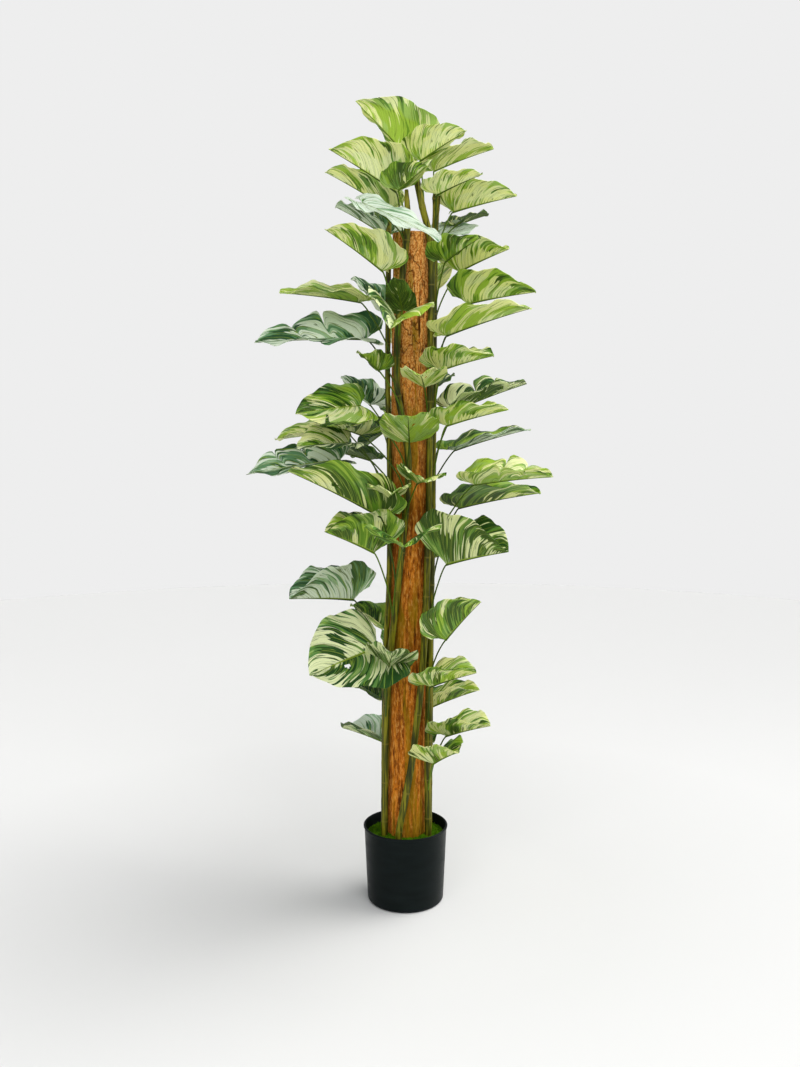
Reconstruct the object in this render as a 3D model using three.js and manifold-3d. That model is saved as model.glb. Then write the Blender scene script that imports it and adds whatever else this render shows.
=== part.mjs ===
// Potted pothos: variegated leaves on seven stems that climb a bark pole in a black pot.
// Millimetres, +Z up. The origin is the centre of the pot's underside, and the front is at -Y.
import * as THREE from "three";
import { mergeVertices } from "three/addons/utils/BufferGeometryUtils.js";
import Module from "manifold-3d";

const wasm = await Module();
wasm.setup();

// Pot, filler and moss
const POT_HEIGHT = 160;
const POT_RIM_RADIUS = 90;
const POT_FOOT_RADIUS = 82;
const POT_WALL = 3;
const POT_FLOOR = 4;
const POT_FLOOR_ROUND = 3;
const POT_FOOT_ROUND = 7;
const POT_ROUND_STEPS = 3;
const POT_LIP = 1.6;
const POT_LIP_HEIGHT = 5;
const POT_LIP_BEVEL = 1;
const POT_SIDES = 32;
const FILLER_TOP = 131;
const FILLER_CLEAR = 0.4;
const FILLER_ROUND = 3.6;
const MOSS_THICKNESS = 9;
const MOSS_MOUND = 7;
const MOSS_CLEAR = 0.6;
const MOSS_SLOPE = 2;
const MOSS_COLLAR = 8;
const SEAT_GAP = 0.3;
const HOLE_SIDES = 8;
const HOLE_TOP = 200;

// Pole
const POLE_RADIUS = 41.5;
const POLE_RELIEF = 1.4;
const POLE_FOOT = 34;
const POLE_TOP = 1450;
const POLE_FOOT_X = 1;
const POLE_TOP_X = 14;
const POLE_SIDES = 24;
const POLE_RINGS = 7;
const BARK_RIBS = 9;
const BARK_WANDER = 1.3;
const BARK_WANDER_HEIGHT = 170;
const BARK_FLUTES = 5;
const BARK_TURN_HEIGHT = 260;

// Stems, leaf stalks and blades
const STEM_SIDES = 6;
const STEM_STEPS = 17;
const STEM_CLEAR = 1.2;
const STEM_TURN = 14;
const STALK_RADIUS = 2.1;
const STALK_SIDES = 4;
const STALK_STEPS = 3;
const STALK_SHARES = [0, 0.35, 0.7, 1];
const STALK_SUNK = 0.06;
const BLADE_THICKNESS = 1.1;
const BLADE_ARCH = 0.015;
const OUTER_FOLD = 0.6;
const WAVE_HEIGHT = 0.032;
const WAVE_RATE = 14;
const LEAF_PHASE = 1.7;
const SIDE_PHASE = 2;

// The eye that saw the plant: a leaf's x and z are given as seen in the plane of the pole,
// and its depth y says where along the line of sight it lies.
const EYE_DISTANCE = 2277;
const EYE_HEIGHT = 1043;

// Each stem: its radius, its way up as [height, degrees round the pole from +X towards the back],
// and the free points [x, y, z] of its end above the pole.
const STEMS = {
  left: {
    radius: 8,
    way: [[92, 204], [400, 208], [560, 226], [649, 239], [802, 257], [960, 266], [1040, 252],
      [1110, 236], [1200, 235], [1300, 242], [1440, 258]],
    end: [[4, -52, 1490], [2, -50, 1536]],
  },
  front: {
    radius: 8,
    way: [[92, 250], [160, 252], [310, 281], [452, 300], [561, 311], [800, 322], [1150, 324],
      [1430, 318]],
    end: [[36, -46, 1500], [25, -38, 1556], [17, -18, 1602]],
  },
  left_back: {
    radius: 6.5,
    way: [[92, 168], [400, 178], [560, 198], [680, 212], [850, 213], [1000, 206], [1110, 192],
      [1380, 180]],
    end: [[-38, 14, 1450], [-32, 22, 1490]],
  },
  right_front: {
    radius: 8,
    way: [[92, 338], [300, 328], [561, 335], [800, 343], [1430, 343]],
    end: [[66, -24, 1500], [64, -40, 1536]],
  },
  right: {
    radius: 6.5,
    way: [[92, 8], [400, 6], [800, 8], [1430, 9]],
    end: [[68, 10, 1490], [74, 18, 1560]],
  },
  back_right: {
    radius: 6.5,
    way: [[92, 58], [500, 50], [900, 54], [1350, 46]],
    end: [[48, 40, 1440]],
  },
  back_left: {
    radius: 6.5,
    way: [[92, 122], [900, 124], [1380, 124]],
    end: [[-14, 52, 1450]],
  },
};

// Each leaf: how far below its base the stalk leaves the stem, base [x, z, y], tip [x, z, y],
// half width as a share of the length, fold in degrees, the lean [x, y] of its upper side, and
// whether its edge is cut towards the midrib.
const LEAVES = {
  left: [
    [150, [-21, 1542, -50], [-169, 1636, -90], 0.54, 48, [0, 0.2]],
    [100, [-16, 1546, -66], [47, 1599, -150], 0.5, 44, [0, 0.1]],
    [90, [-95, 1518, -76], [78, 1437, -150], 0.18, 14, [0, -0.6]],
    [170, [-51, 1369, -84], [-178, 1461, -140], 0.5, 44, [0, 0.1]],
    [200, [-99, 1301, -20], [-277, 1321, -60], 0.6, 18, [0, -0.2]],
    [190, [-86, 1220, -44], [-331, 1212, -50], 0.38, 24, [0, -0.5], true],
    [150, [-21, 1262, -104], [-32, 1244, -260], 0.56, 46, [0.25, 0]],
    [110, [-7, 1284, -66], [-25, 1356, -150], 0.32, 18, [0, 0]],
    [130, [-58, 1150, -90], [-102, 1187, -190], 0.38, 46, [0, 0]],
    [170, [-99, 1074, -50], [-242, 1056, -120], 0.43, 12, [0, -1.1]],
    [150, [-97, 1010, -44], [-172, 1030, -160], 0.44, 36, [0, -0.3]],
    [170, [-126, 993, -64], [-239, 984, -120], 0.5, 26, [0, -0.6]],
    [190, [-56, 831, -118], [-259, 931, -134], 0.45, 42, [0, 0.3]],
    [130, [-38, 870, -130], [-29, 883, -250], 0.42, 34, [0, 0]],
    [170, [-69, 752, -76], [-178, 798, -130], 0.88, 58, [0, 0.1]],
    [200, [-7, 763, -186], [-5, 765, -350], 0.54, 36, [0, 0]],
    [180, [-62, 544, -76], [-211, 483, -180], 0.64, 12, [0, -0.9]],
    [160, [-40, 491, -104], [-29, 535, -240], 0.42, 38, [0.2, -0.3]],
    [140, [8, 993, -98], [4, 1052, -220], 0.52, 32, [0, 0]],
    [130, [25, 903, -96], [41, 907, -225], 0.46, 36, [0.2, 0]],
  ],
  front: [
    [120, [14, 1608, -16], [-110, 1741, -80], 0.56, 50, [0.3, 0.5]],
    [110, [32, 1610, -50], [133, 1676, -120], 0.5, 44, [0, 0.3]],
    [140, [41, 1113, -100], [32, 1142, -225], 0.46, 40, [0, 0]],
  ],
  left_back: [
    [150, [-34, 1503, 86], [-176, 1586, 130], 0.38, 42, [0, 0.2]],
    [150, [-42, 1268, 90], [-117, 1354, 180], 0.36, 38, [0, 0]],
    [180, [-132, 1017, 40], [-285, 999, 90], 0.6, 20, [0, -0.3]],
    [170, [-143, 955, -14], [-349, 923, -34], 0.38, 24, [0, -0.5], true],
    [150, [-77, 955, 90], [-204, 984, 130], 0.42, 26, [0, 0]],
    [190, [-113, 649, 0], [-255, 651, -80], 0.68, 58, [0, 0.2]],
    [130, [-49, 430, 84], [-121, 465, 190], 0.46, 36, [0, 0]],
    [120, [-47, 338, 86], [-137, 369, 180], 0.55, 42, [0, 0]],
  ],
  right_front: [
    [150, [87, 1389, -60], [161, 1441, -160], 0.46, 42, [0, 0]],
    [120, [69, 1536, -74], [168, 1581, -160], 0.37, 40, [0, 0.1]],
    [160, [89, 1227, -84], [277, 1288, -110], 0.38, 34, [0, 0.1]],
    [140, [78, 1152, -66], [192, 1183, -170], 0.46, 42, [0, 0]],
    [150, [89, 1030, -70], [225, 1065, -140], 0.44, 40, [0, 0]],
    [190, [150, 901, -84], [323, 918, -120], 0.54, 34, [0, -0.1], true],
    [150, [89, 726, -84], [225, 754, -170], 0.86, 62, [0, 0.2]],
    [140, [87, 561, -122], [165, 645, -124], 0.86, 52, [-0.2, 0.2]],
    [120, [54, 459, -80], [155, 489, -130], 0.68, 40, [-0.2, 0.1]],
    [110, [60, 290, -90], [117, 316, -190], 0.52, 44, [0, -0.1]],
  ],
  right: [
    [120, [63, 1588, 54], [194, 1636, 120], 0.4, 34, [0, 0.1]],
    [150, [104, 1498, 30], [244, 1533, -40], 0.52, 42, [0, 0.2]],
    [160, [117, 1367, 56], [227, 1417, -20], 0.68, 40, [0, 0.1]],
    [190, [135, 1297, 10], [286, 1323, -50], 0.6, 42, [0, 0.1]],
    [170, [111, 1065, 14], [266, 1122, 50], 0.5, 34, [0, -0.1], true],
    [210, [117, 850, 30], [297, 883, 0], 0.56, 30, [0, 0]],
    [150, [58, 415, 104], [163, 452, 56], 0.54, 40, [0, 0]],
    [150, [89, 351, -60], [185, 373, -130], 0.56, 42, [0, 0]],
  ],
  back_right: [
    [120, [111, 1468, 66], [183, 1492, 150], 0.32, 30, [0, 0]],
    [110, [56, 1441, 58], [161, 1468, 64], 0.36, 14, [0, -0.8]],
    [140, [63, 1111, 108], [100, 1139, 222], 0.31, 34, [0, 0]],
    [170, [109, 977, 60], [275, 1023, 110], 0.42, 18, [0, 0]],
    [150, [52, 1325, 98], [84, 1387, 244], 0.44, 46, [0, 0]],
    [150, [54, 745, 96], [91, 815, 200], 0.44, 40, [0, 0]],
    [150, [10, 649, 96], [6, 699, 250], 0.44, 46, [0, 0]],
    [140, [23, 316, 92], [41, 367, 240], 0.4, 46, [0, 0]],
  ],
  back_left: [
    [140, [-45, 1448, 84], [-152, 1509, 170], 0.44, 36, [0, 0]],
    [150, [-77, 1076, 86], [-137, 1137, 180], 0.4, 36, [0, 0]],
    [150, [-47, 588, 84], [-117, 638, 170], 0.5, 36, [0, 0]],
    [150, [12, 1196, 104], [28, 1247, 260], 0.44, 46, [0, 0]],
    [150, [-1, 1030, 100], [-5, 1080, 260], 0.44, 46, [0, 0]],
    [150, [-5, 769, 98], [-16, 820, 250], 0.44, 46, [0, 0]],
    [140, [-1, 520, 96], [-10, 570, 250], 0.44, 46, [0, 0]],
    [150, [-49, 1015, 196], [-113, 960, 270], 0.48, 30, [0, -0.8]],
  ],
};

// Half of the heart-shaped blade, from the notch at the stalk to near the tip: where the side
// vein leaves the midrib, then where it meets the edge along and across, as shares of the length
// and of the half width.
const SIDE_VEINS = [
  [0, -0.14, 0.38],
  [0, -0.13, 0.78],
  [0.07, 0.13, 1],
  [0.29, 0.44, 0.94],
  [0.54, 0.71, 0.66],
  [0.79, 0.92, 0.26],
];

// The same half with two cuts in its edge.
const CUT_VEINS = [
  [0, -0.14, 0.38],
  [0, -0.13, 0.78],
  [0.07, 0.13, 1],
  [0.25, 0.38, 0.95],
  [0.3, 0.38, 0.45],
  [0.36, 0.46, 0.92],
  [0.5, 0.66, 0.7],
  [0.55, 0.66, 0.34],
  [0.6, 0.72, 0.64],
  [0.79, 0.92, 0.26],
];

// The colour and roughness of each material
const PLASTIC = { color: 0x15191b, roughness: 0.45 };
const CEMENT = { color: 0x8d8a84, roughness: 0.95 };
const MOSS = { color: 0x3f6b14, roughness: 1 };
const BARK = { color: 0x96561f, roughness: 0.9 };
const LEAF = { color: 0x5f8a34, roughness: 0.5 };

// Closeness at which vertices are one, and the halvings that find a height on a stem
const MERGE_DISTANCE = 1e-4;
const HALVINGS = 24;

// Turns a closed three.js geometry into a solid.
function solidOf(geometry) {
  const bare = geometry.index ? geometry.toNonIndexed() : geometry.clone();
  bare.deleteAttribute("normal");
  bare.deleteAttribute("uv");
  const merged = mergeVertices(bare, MERGE_DISTANCE);
  return new wasm.Manifold(
    new wasm.Mesh({
      numProp: 3,
      vertProperties: merged.attributes.position.array,
      triVerts: new Uint32Array(merged.index.array),
    }),
  );
}

// Turns a solid back into a geometry.
function geometryOf(solid) {
  const mesh = solid.getMesh();
  const geometry = new THREE.BufferGeometry();
  geometry.setAttribute("position", new THREE.BufferAttribute(mesh.vertProperties, 3));
  geometry.setIndex(new THREE.BufferAttribute(mesh.triVerts, 1));
  geometry.computeVertexNormals();
  return geometry;
}

// A closed tube of even sides along a curve.
function tube(curve, radius, sides, steps) {
  const corner = (i) => [
    radius * Math.cos((2 * Math.PI * i) / sides),
    radius * Math.sin((2 * Math.PI * i) / sides),
  ];
  const section = new THREE.Shape();
  section.moveTo(...corner(0));
  for (let i = 1; i < sides; i++) {
    section.lineTo(...corner(i));
  }
  section.closePath();
  return new THREE.ExtrudeGeometry(section, { steps, extrudePath: curve });
}

// The pole's axis, which leans a little to the right.
function poleAxis(height) {
  const share = (height - POLE_FOOT) / (POLE_TOP - POLE_FOOT);
  return POLE_FOOT_X + (POLE_TOP_X - POLE_FOOT_X) * share;
}

// The pole: a ribbed bark surface between a foot and a top, with the radius grown by a gap
// where it serves to cut the hole that the pole stands in.
function pole(relief, grow, foot, top) {
  const points = [];
  const faces = [];
  for (let ring = 0; ring <= POLE_RINGS; ring++) {
    const z = foot + ((top - foot) * ring) / POLE_RINGS;
    for (let side = 0; side < POLE_SIDES; side++) {
      const angle = (2 * Math.PI * side) / POLE_SIDES;
      const wander = BARK_WANDER * Math.sin(z / BARK_WANDER_HEIGHT);
      const rib = Math.sin(BARK_RIBS * angle + wander);
      const flute = Math.sin(BARK_FLUTES * angle - z / BARK_TURN_HEIGHT);
      const radius = POLE_RADIUS + grow + (relief * (rib + flute)) / 2;
      points.push(poleAxis(z) + radius * Math.cos(angle), radius * Math.sin(angle), z);
    }
  }
  points.push(poleAxis(foot), 0, foot, poleAxis(top), 0, top);
  const at = (ring, side) => ring * POLE_SIDES + (side % POLE_SIDES);
  const footCentre = (POLE_RINGS + 1) * POLE_SIDES;
  for (let side = 0; side < POLE_SIDES; side++) {
    for (let ring = 0; ring < POLE_RINGS; ring++) {
      faces.push(at(ring, side), at(ring, side + 1), at(ring + 1, side + 1));
      faces.push(at(ring, side), at(ring + 1, side + 1), at(ring + 1, side));
    }
    faces.push(footCentre, at(0, side + 1), at(0, side));
    faces.push(footCentre + 1, at(POLE_RINGS, side), at(POLE_RINGS, side + 1));
  }
  const geometry = new THREE.BufferGeometry();
  geometry.setAttribute("position", new THREE.Float32BufferAttribute(points, 3));
  geometry.setIndex(faces);
  return geometry;
}

// The curve that a stem follows: up the pole at its own radius from the bark, then free.
// Between two far points it would cut the corner of the pole, so more are put between them.
function stemCurve({ radius, way, end }) {
  const reach = POLE_RADIUS + POLE_RELIEF + radius + STEM_CLEAR;
  const points = [];
  way.forEach(([z, degrees], i) => {
    const [nextZ, nextDegrees] = way[Math.min(i + 1, way.length - 1)];
    const parts = Math.max(1, Math.ceil(Math.abs(nextDegrees - degrees) / STEM_TURN));
    for (let k = 0; k < parts; k++) {
      const height = z + ((nextZ - z) * k) / parts;
      const angle = THREE.MathUtils.degToRad(degrees + ((nextDegrees - degrees) * k) / parts);
      const x = poleAxis(height) + reach * Math.cos(angle);
      points.push(new THREE.Vector3(x, reach * Math.sin(angle), height));
    }
  });
  end.forEach((point) => points.push(new THREE.Vector3(...point)));
  return new THREE.CatmullRomCurve3(points);
}

// The point of a stem at a height.
function stemAt(curve, height) {
  let low = 0;
  let high = 1;
  for (let i = 0; i < HALVINGS; i++) {
    const middle = (low + high) / 2;
    if (curve.getPoint(middle).z < height) {
      low = middle;
    } else {
      high = middle;
    }
  }
  return curve.getPoint(low);
}

// A point seen at x, z in the plane of the pole that lies at depth y.
function seen([x, z, y]) {
  const share = (EYE_DISTANCE + y) / EYE_DISTANCE;
  return new THREE.Vector3(x * share, y, EYE_HEIGHT + (z - EYE_HEIGHT) * share);
}

// The frame of a leaf: base, length, and the unit vectors along, across and up.
function leafFrame([, base, tip, , , lean]) {
  const root = seen(base);
  const along = seen(tip).sub(root);
  const length = along.length();
  along.normalize();
  const up = new THREE.Vector3(lean[0], lean[1], 1);
  up.addScaledVector(along, -up.dot(along)).normalize();
  const across = new THREE.Vector3().crossVectors(up, along);
  return { root, length, along, across, up };
}

// A point of the blade's middle surface: on a side vein from the midrib, a share of the way out.
function bladePoint(frame, halfWidth, fold, vein, share, side, phase) {
  const [start, alongShare, acrossShare] = vein;
  const slope = 4 * BLADE_ARCH * (1 - 2 * start);
  const tangent = new THREE.Vector2(1, slope).normalize();
  const forward = (alongShare - start) * share * frame.length;
  const out = acrossShare * halfWidth * frame.length * share;
  const inner = Math.min(out, (acrossShare * halfWidth * frame.length) / 2);
  const outer = out - inner;
  const level = inner * Math.cos(fold) + outer * Math.cos(fold * OUTER_FOLD);
  const height = share > 0.5 ? WAVE_HEIGHT * frame.length : 0;
  const wave = height * Math.sin(phase + WAVE_RATE * alongShare);
  const rise = inner * Math.sin(fold) + outer * Math.sin(fold * OUTER_FOLD) + wave;
  const x = start * frame.length + forward * tangent.x - rise * tangent.y;
  const z = 4 * BLADE_ARCH * start * (1 - start) * frame.length + forward * tangent.y + rise * tangent.x;
  return frame.root
    .clone()
    .addScaledVector(frame.along, x)
    .addScaledVector(frame.across, side * level)
    .addScaledVector(frame.up, z);
}

// A folded, waved heart-shaped blade of even thickness, with the same triangles on both faces.
function blade(leaf, phase) {
  const [, , , halfWidth, foldDegrees, , cut] = leaf;
  const veins = cut ? CUT_VEINS : SIDE_VEINS;
  const frame = leafFrame(leaf);
  const fold = THREE.MathUtils.degToRad(foldDegrees);
  const sheet = [frame.root.clone()];
  const faces = [];
  const rim = [];
  const midrib = [0];
  veins.forEach((vein, i) => {
    midrib[i] = vein[0] === 0 ? 0 : sheet.length;
    if (vein[0] > 0) sheet.push(bladePoint(frame, halfWidth, fold, vein, 0, 1, phase));
  });
  const tip = sheet.length;
  sheet.push(frame.root.clone().addScaledVector(frame.along, frame.length));
  for (const side of [1, -1]) {
    const shift = side > 0 ? phase : phase + SIDE_PHASE;
    const rows = veins.map((vein, i) => {
      const row = [midrib[i]];
      for (const share of [0.5, 1]) {
        row.push(sheet.length);
        sheet.push(bladePoint(frame, halfWidth, fold, vein, share, side, shift));
      }
      return row;
    });
    const add = (a, b, c) => faces.push(side > 0 ? [a, b, c] : [a, c, b]);
    for (let i = 0; i + 1 < rows.length; i++) {
      const [a, b] = [rows[i], rows[i + 1]];
      if (a[0] !== b[0]) {
        add(a[0], b[0], b[1]);
      }
      add(a[0], b[1], a[1]);
      add(a[1], b[1], b[2]);
      add(a[1], b[2], a[2]);
    }
    const last = rows[rows.length - 1];
    add(last[0], tip, last[1]);
    add(last[1], tip, last[2]);
    const edge = [0, rows[0][1], ...rows.map((row) => row[2]), tip];
    for (let i = 0; i + 1 < edge.length; i++) {
      rim.push(side > 0 ? [edge[i + 1], edge[i]] : [edge[i], edge[i + 1]]);
    }
  }
  return thicken(sheet, faces, rim);
}

// Gives a sheet its thickness: its faces on both sides, and a wall round its rim.
function thicken(sheet, faces, rim) {
  const normals = sheet.map(() => new THREE.Vector3());
  for (const [a, b, c] of faces) {
    const normal = new THREE.Vector3()
      .subVectors(sheet[b], sheet[a])
      .cross(new THREE.Vector3().subVectors(sheet[c], sheet[a]));
    [a, b, c].forEach((i) => normals[i].add(normal));
  }
  const points = [];
  for (const side of [0.5, -0.5]) {
    sheet.forEach((point, i) => {
      const moved = point.clone().addScaledVector(normals[i].normalize(), side * BLADE_THICKNESS);
      points.push(moved.x, moved.y, moved.z);
    });
  }
  const count = sheet.length;
  const index = [];
  for (const [a, b, c] of faces) {
    index.push(a, b, c, count + a, count + c, count + b);
  }
  for (const [a, b] of rim) {
    index.push(a, count + a, count + b, a, count + b, b);
  }
  const geometry = new THREE.BufferGeometry();
  geometry.setAttribute("position", new THREE.Float32BufferAttribute(points, 3));
  geometry.setIndex(index);
  return geometry;
}

// The stalk of a leaf: steep from the stem, bending out to the blade, and sunk along its midrib.
function stalk(leaf, curve) {
  const frame = leafFrame(leaf);
  const foot = stemAt(curve, frame.root.z - leaf[0]);
  const way = new THREE.Vector3().subVectors(frame.root, foot);
  const points = STALK_SHARES.map(
    (t) => new THREE.Vector3(foot.x + way.x * t * t, foot.y + way.y * t * t, foot.z + way.z * t),
  );
  const sunk = STALK_SUNK * frame.length;
  points.push(
    frame.root
      .clone()
      .addScaledVector(frame.along, sunk)
      .addScaledVector(frame.up, 4 * BLADE_ARCH * sunk),
  );
  return tube(new THREE.CatmullRomCurve3(points), STALK_RADIUS, STALK_SIDES, STALK_STEPS);
}

// The largest shell of a fused body: sealed hollows are filled, and loose scraps are dropped.
function mainShell(body) {
  return body.decompose().reduce((main, shell) => (shell.volume() > main.volume() ? shell : main));
}

// A stem with all its stalks and blades, fused in one body.
function leafyStem(name) {
  const curve = stemCurve(STEMS[name]);
  let body = solidOf(tube(curve, STEMS[name].radius, STEM_SIDES, STEM_STEPS));
  LEAVES[name].forEach((leaf, i) => {
    const phase = LEAF_PHASE * i + name.length;
    body = body.add(solidOf(stalk(leaf, curve))).add(solidOf(blade(leaf, phase)));
  });
  return mainShell(body);
}

// What the stems and the pole take out of the filler and the moss.
function holes() {
  let cut = solidOf(pole(0, POLE_RELIEF + SEAT_GAP, POLE_FOOT - SEAT_GAP, HOLE_TOP));
  for (const stem of Object.values(STEMS)) {
    const grown = (stem.radius + SEAT_GAP) / Math.cos(Math.PI / HOLE_SIDES);
    cut = cut.add(solidOf(tube(stemCurve(stem), grown, HOLE_SIDES, STEM_STEPS)));
  }
  return cut;
}

// A turned solid from a profile of [radius, height].
function turned(profile) {
  const points = profile.map(([radius, z]) => new THREE.Vector2(radius, z));
  return new THREE.LatheGeometry(points, POT_SIDES).rotateX(Math.PI / 2);
}

// The pot's outer radius at a height.
function potRadius(z) {
  return POT_FOOT_RADIUS + ((POT_RIM_RADIUS - POT_FOOT_RADIUS) * z) / POT_HEIGHT;
}

// The pot: a plain tapered cup with a rounded foot and a low lip round its rim.
function pot() {
  const round = [];
  for (let i = 0; i <= POT_ROUND_STEPS; i++) {
    const angle = (Math.PI / 2) * (i / POT_ROUND_STEPS);
    round.push([
      potRadius(POT_FOOT_ROUND) - POT_FOOT_ROUND * (1 - Math.sin(angle)),
      POT_FOOT_ROUND * (1 - Math.cos(angle)),
    ]);
  }
  const lipFoot = POT_HEIGHT - POT_LIP_HEIGHT;
  return turned([
    [0, 0],
    ...round,
    [potRadius(lipFoot), lipFoot],
    [potRadius(lipFoot) + POT_LIP, lipFoot + POT_LIP_BEVEL],
    [potRadius(POT_HEIGHT) + POT_LIP, POT_HEIGHT - POT_LIP_BEVEL],
    [potRadius(POT_HEIGHT), POT_HEIGHT],
    [potRadius(POT_HEIGHT) - POT_WALL, POT_HEIGHT - POT_LIP_BEVEL],
    [potRadius(POT_FLOOR) - POT_WALL, POT_FLOOR + POT_FLOOR_ROUND],
    [potRadius(POT_FLOOR) - POT_WALL - POT_FLOOR_ROUND, POT_FLOOR],
    [0, POT_FLOOR],
  ]);
}

// The cement that holds the pole and the stems, cast into the pot.
function filler() {
  const inner = (z) => potRadius(z) - POT_WALL - SEAT_GAP - FILLER_CLEAR;
  const low = POT_FLOOR + SEAT_GAP;
  const block = turned([
    [0, low],
    [inner(low) - FILLER_ROUND, low],
    [inner(low), low + FILLER_ROUND],
    [inner(FILLER_TOP), FILLER_TOP],
    [0, FILLER_TOP],
  ]);
  return solidOf(block).subtract(holes());
}

// The moss mat on the filler, a little mounded towards the pole.
function moss() {
  const low = FILLER_TOP + SEAT_GAP;
  const rim = potRadius(low) - POT_WALL - SEAT_GAP - MOSS_CLEAR;
  const top = low + MOSS_THICKNESS;
  const mat = turned([
    [0, low],
    [rim, low],
    [rim - MOSS_SLOPE, top],
    [POLE_RADIUS + MOSS_COLLAR, top + MOSS_MOUND],
    [0, top + MOSS_MOUND],
  ]);
  return solidOf(mat).subtract(holes());
}

// Adds a named mesh to the plant.
const plant = new THREE.Group();
function place(name, geometry, look) {
  const mesh = new THREE.Mesh(geometry, new THREE.MeshStandardMaterial({ ...look, metalness: 0 }));
  mesh.name = name;
  plant.add(mesh);
}

place("pot", pot(), PLASTIC);
place("filler", geometryOf(filler()), CEMENT);
place("moss", geometryOf(moss()), MOSS);
place("bark_pole", pole(POLE_RELIEF, 0, POLE_FOOT, POLE_TOP), BARK);
for (const name of Object.keys(STEMS)) {
  place(`leafy_stem_${name}`, geometryOf(leafyStem(name)), LEAF);
}

export default plant;
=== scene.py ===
"""Potted pothos on a bark pole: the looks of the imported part, in metres, with the front at -Y."""
import math
from collections import namedtuple

import bpy
import numpy as np
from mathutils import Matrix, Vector, noise


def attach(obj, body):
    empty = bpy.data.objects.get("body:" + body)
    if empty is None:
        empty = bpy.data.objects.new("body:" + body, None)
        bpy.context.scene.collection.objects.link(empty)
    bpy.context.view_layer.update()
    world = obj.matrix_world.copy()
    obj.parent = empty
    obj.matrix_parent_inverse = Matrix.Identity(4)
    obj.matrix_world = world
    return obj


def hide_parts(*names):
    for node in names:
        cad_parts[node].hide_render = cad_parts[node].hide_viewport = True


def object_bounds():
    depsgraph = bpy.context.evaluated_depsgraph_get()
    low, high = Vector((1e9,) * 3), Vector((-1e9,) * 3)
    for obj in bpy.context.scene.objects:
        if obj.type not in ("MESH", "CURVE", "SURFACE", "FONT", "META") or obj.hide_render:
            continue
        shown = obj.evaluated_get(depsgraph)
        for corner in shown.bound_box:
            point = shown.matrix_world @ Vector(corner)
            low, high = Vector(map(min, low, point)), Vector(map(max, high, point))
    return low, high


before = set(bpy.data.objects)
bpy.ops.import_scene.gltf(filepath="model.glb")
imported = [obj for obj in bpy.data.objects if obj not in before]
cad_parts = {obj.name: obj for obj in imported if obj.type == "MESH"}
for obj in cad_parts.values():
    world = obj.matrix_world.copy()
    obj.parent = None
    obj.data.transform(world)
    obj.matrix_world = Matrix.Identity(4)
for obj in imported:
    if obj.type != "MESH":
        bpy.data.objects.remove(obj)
CAD_LOW, CAD_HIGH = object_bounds()
MM = 0.001
QUARTER = math.pi / 2

# Pot, in millimetres
POT_HEIGHT = 160
POT_RIM_RADIUS = 90
POT_FOOT_RADIUS = 82
POT_WALL = 3
POT_FLOOR = 4
POT_CORNER = 3
POT_FOOT_ROUND = 7
POT_HOLLOW_RADIUS = 58
POT_HOLLOW = 0.8
POT_STAND_RADIUS = 61
POT_LIP = 1.6
POT_LIP_HEIGHT = 5
POT_LIP_ROUND = 1
POT_RIM_ROUND = 1.6
POT_NOTCH_DEPTH = 0.1
POT_NOTCH_HEIGHT = 0.4
POT_SIDES = 144
POT_SHARP_ANGLE = 35

# Moss, in millimetres or as shares. Its noise: how fast its octaves fade and shrink, how many
MOSS_LOW = 131.3
MOSS_TOP = 140.3
MOSS_MOUND = 6
MOSS_RADIUS = 84.6
MOSS_SIDES = 160
MOSS_RINGS = 44
MOUND_CURVE = 0.8
CUSHION_SIZE = 9
CUSHION_HEIGHT = 1.7
CUSHION_SHIFT = 4
CUSHION_NOISE = (0.8, 2, 3)
STRAND_COUNT = 9000
STRAND_SEED = 7
STRAND_ROOM = 2
STRAND_AREA = (0.2, 1)
STRAND_EDGE = 0.5
STRAND_SUNK = 0.6
STRAND_LEAN = (0.6, 2.6)
STRAND_HEIGHT = (1.8, 4.2)
STRAND_WIDTH = (0.28, 0.5)
MIDDLE_LEAN = 0.35
MIDDLE_HEIGHT = 0.6
MIDDLE_WIDTH = 0.8

# Pole, in millimetres
POLE_RADIUS = 41.5
POLE_RELIEF = 1.4
POLE_FOOT = 34
POLE_TOP = 1450
POLE_FOOT_X = 1
POLE_TOP_X = 14
BARK_SIDES = 220
BARK_RINGS = 300

# Ridges, plates and fibres of the bark: how close round the pole, how tall, and a shift
BARK_PLACES = ((5.5, 90, 0), (2.2, 210, 9), (19, 60, 3))
RIDGE_NOISE = (0.7, 2.1, 4)
RIDGE_DEPTH = 1.5
PLATE_DEPTH = 0.7
FIBRE_DEPTH = 0.5
BARK_SINK = 0.2
BARK_LOWEST = -2.4
BARK_HIGHEST = 1.6

# Stems, in millimetres or as shares of a stem's radius or length
STEM_CLEAR = 1.2
STEM_TURN = 14
STEM_STEPS = 320
STEM_SIDES = 18
STEM_WAIST = 0.93
JOINT_SPACING = 84
JOINT_SHIFT = 0.13
JOINT_SWELL = 0.07
JOINT_WIDTH = 0.05
TAPER_START = 0.93
TAPER_LENGTH = 0.07
TAPER_LOSS = 0.45
GROOVES = 5
GROOVE_DEPTH = 0.025
GROOVE_SINK = 0.02

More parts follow.
